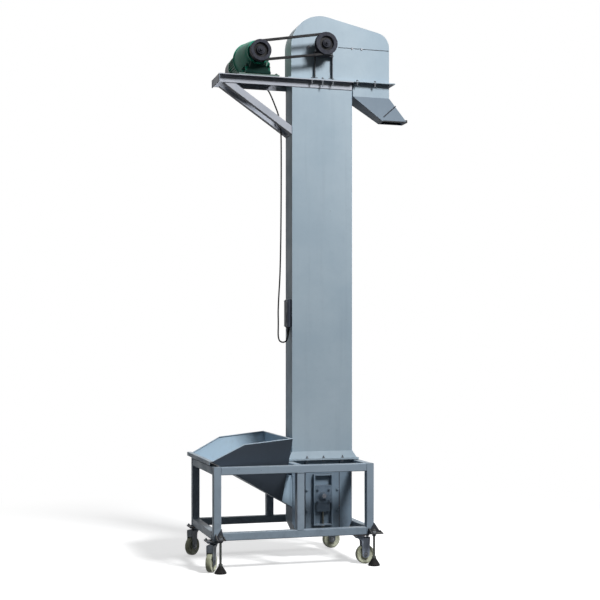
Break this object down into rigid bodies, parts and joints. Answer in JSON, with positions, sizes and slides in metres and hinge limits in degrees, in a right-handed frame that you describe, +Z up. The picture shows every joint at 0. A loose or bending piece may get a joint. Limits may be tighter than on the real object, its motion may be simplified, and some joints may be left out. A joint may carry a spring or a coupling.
{
  "type": "mobile bucket elevator",
  "caption": "Tall sheet metal bucket elevator on a wheeled square tube frame, with a side feed hopper, belt driven head, gearmotor platform and slanted discharge chute.",
  "frame": {"origin": "on the floor, under the middle of the machine's outer sizes", "axes": "+Z up, +X from the hopper end to the chute end, -Y the belt drive side"},
  "size_m": [1.4903, 0.946, 3.645],
  "materials": {
    "frame_paint": "satin blue-grey paint on steel tube",
    "casing_paint": "satin light blue-grey paint on sheet steel",
    "hopper_paint": "satin light blue-grey paint on sheet steel",
    "castor_dark": "dark satin paint on pressed steel",
    "castor_zinc": "dull zinc plated pressed steel",
    "wheel_cream": "cream moulded wheel",
    "threaded_steel": "dull dark threaded steel",
    "black_rubber": "matt black rubber",
    "bright_steel": "bare turned steel",
    "cast_grey": "dark grey cast iron",
    "motor_green": "glossy green paint on castings",
    "cowl_black": "satin black paint on pressed sheet",
    "dark_plastic": "dark moulded plastic",
    "cable_black": "matt black cable sheath"
  },
  "bodies": {
    "frame": {"bearing_pedestals": "casing_paint", "boot_end_panels": "casing_paint", "boot_flange": "casing_paint", "boot_floor": "casing_paint", "boot_side_panels": "casing_paint", "braces": "casing_paint", "castor_plates": "castor_dark", "column_end_panels": "casing_paint", "column_side_panels": "casing_paint", "corner_posts": "frame_paint", "cross_rails": "frame_paint", "discharge_box": "casing_paint", "discharge_chute": "casing_paint", "drive_belt": "black_rubber", "fan_cowl": "cowl_black", "foot_flange": "casing_paint", "gearbox": "motor_green", "head_bearings": "cast_grey", "head_cover": "casing_paint", "head_flange": "casing_paint", "head_side_plates": "casing_paint", "hopper_end_wall": "hopper_paint", "hopper_floor": "hopper_paint", "hopper_lip": "frame_paint", "hopper_neck_sides": "hopper_paint", "hopper_neck_top": "hopper_paint", "hopper_side_walls": "hopper_paint", "jack_brackets": "castor_dark", "mid_posts": "frame_paint", "motor_base": "casing_paint", "motor_body": "motor_green", "motor_cable": "cable_black", "platform_frame": "casing_paint", "side_rails": "frame_paint", "switch_box": "dark_plastic", "takeup_guides": "casing_paint", "terminal_box": "motor_green"},
    "head_shaft": {"head_shaft": "bright_steel", "head_pulley": "cast_grey"},
    "drive_pulley": {"drive_pulley": "cast_grey"},
    "takeup": {"takeup_blocks": "cast_grey", "takeup_screws": "threaded_steel"},
    "tail_shaft": {"tail_shaft": "bright_steel"},
    "jack_left": {"jack_screw_left": "threaded_steel", "jack_foot_left": "black_rubber"},
    "jack_right": {"jack_screw_right": "threaded_steel", "jack_foot_right": "black_rubber"},
    "castor_fork_front_left": {"castor_fork_front_left": "castor_dark"},
    "castor_wheel_front_left": {"castor_wheel_front_left": "wheel_cream"},
    "castor_fork_front_right": {"castor_fork_front_right": "castor_zinc"},
    "castor_wheel_front_right": {"castor_wheel_front_right": "wheel_cream"},
    "castor_fork_rear_left": {"castor_fork_rear_left": "castor_dark"},
    "castor_wheel_rear_left": {"castor_wheel_rear_left": "wheel_cream"},
    "castor_fork_rear_right": {"castor_fork_rear_right": "castor_dark"},
    "castor_wheel_rear_right": {"castor_wheel_rear_right": "wheel_cream"}
  },
  "joints": [
    {"name": "front_left_swivel", "type": "hinge", "parent": "frame", "child": "castor_fork_front_left", "pos_m": [-0.67363, -0.344, 0.195], "axis": [0, 0, 1], "range_deg": [-259, 1]},
    {"name": "front_left_wheel_spin", "type": "hinge", "parent": "castor_fork_front_left", "child": "castor_wheel_front_left", "pos_m": [-0.69433, -0.37587, 0.0625], "axis": [0.8387, -0.5446, 0], "continuous": true},
    {"name": "front_right_swivel", "type": "hinge", "parent": "frame", "child": "castor_fork_front_right", "pos_m": [0.30237, -0.344, 0.195], "axis": [0, 0, 1], "range_deg": [-19, 274]},
    {"name": "front_right_wheel_spin", "type": "hinge", "parent": "castor_fork_front_right", "child": "castor_wheel_front_right", "pos_m": [0.34037, -0.344, 0.0625], "axis": [0, 1, 0], "continuous": true},
    {"name": "rear_left_swivel", "type": "hinge", "parent": "frame", "child": "castor_fork_rear_left", "pos_m": [-0.65963, 0.312, 0.195], "axis": [0, 0, 1], "continuous": true},
    {"name": "rear_left_wheel_spin", "type": "hinge", "parent": "castor_fork_rear_left", "child": "castor_wheel_rear_left", "pos_m": [-0.68787, 0.28657, 0.0625], "axis": [0.6691, -0.7431, 0], "continuous": true},
    {"name": "rear_right_swivel", "type": "hinge", "parent": "frame", "child": "castor_fork_rear_right", "pos_m": [0.35337, 0.312, 0.195], "axis": [0, 0, 1], "continuous": true},
    {"name": "rear_right_wheel_spin", "type": "hinge", "parent": "castor_fork_rear_right", "child": "castor_wheel_rear_right", "pos_m": [0.31551, 0.30869, 0.0625], "axis": [0.0872, -0.9962, 0], "continuous": true},
    {"name": "head_shaft_turn", "type": "hinge", "parent": "frame", "child": "head_shaft", "pos_m": [0.12337, -0.016, 3.437], "axis": [0, 1, 0], "continuous": true},
    {"name": "drive_pulley_turn", "type": "hinge", "parent": "frame", "child": "drive_pulley", "pos_m": [-0.32663, -0.187, 3.362], "axis": [0, 1, 0], "continuous": true},
    {"name": "takeup_slide", "type": "slide", "parent": "frame", "child": "takeup", "axis": [0, 0, 1], "range_m": [-0.03, 0.04]},
    {"name": "tail_shaft_turn", "type": "hinge", "parent": "takeup", "child": "tail_shaft", "pos_m": [0.12337, -0.016, 0.426], "axis": [0, 1, 0], "continuous": true},
    {"name": "jack_left_slide", "type": "slide", "parent": "frame", "child": "jack_left", "axis": [0, 0, 1], "range_m": [0, 0.08]},
    {"name": "jack_right_slide", "type": "slide", "parent": "frame", "child": "jack_right", "axis": [0, 0, 1], "range_m": [0, 0.08]}
  ],
  "couplings": [
    {"joint": "drive_pulley_turn", "follows": "head_shaft_turn", "ratio": 1.0714},
    {"joint": "tail_shaft_turn", "follows": "head_shaft_turn", "ratio": 1}
  ]
}
